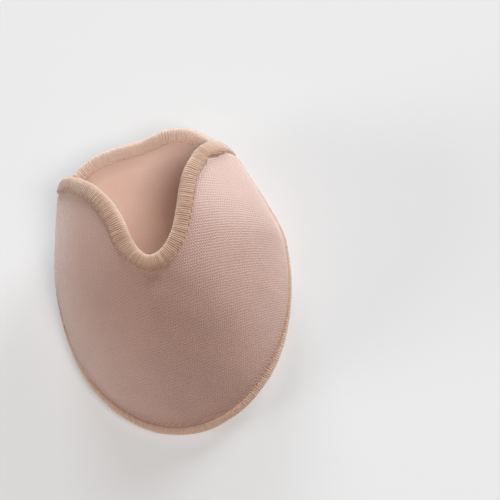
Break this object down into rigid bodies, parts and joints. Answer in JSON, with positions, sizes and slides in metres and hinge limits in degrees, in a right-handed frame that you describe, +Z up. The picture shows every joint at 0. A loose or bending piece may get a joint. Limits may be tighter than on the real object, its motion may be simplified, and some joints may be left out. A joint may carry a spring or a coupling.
{
  "type": "pointe shoe toe pad",
  "caption": "Padded pouch worn over the toes inside a pointe shoe, with a domed top panel notched at the mouth, a longer sole panel and overlocked edges.",
  "frame": {"origin": "on the floor, under the middle of the overall width and length", "axes": "+Y from the toe to the mouth, +Z up from the sole, +X to the right"},
  "size_m": [0.0782, 0.0982, 0.0399],
  "materials": {
    "knit_fabric": "matt fine knit",
    "overlock_thread": "soft spun thread"
  },
  "bodies": {
    "root": {"top_panel": "knit_fabric", "sole_panel": "knit_fabric", "side_seam_overlock": "overlock_thread", "mouth_overlock": "overlock_thread"}
  },
  "joints": []
}
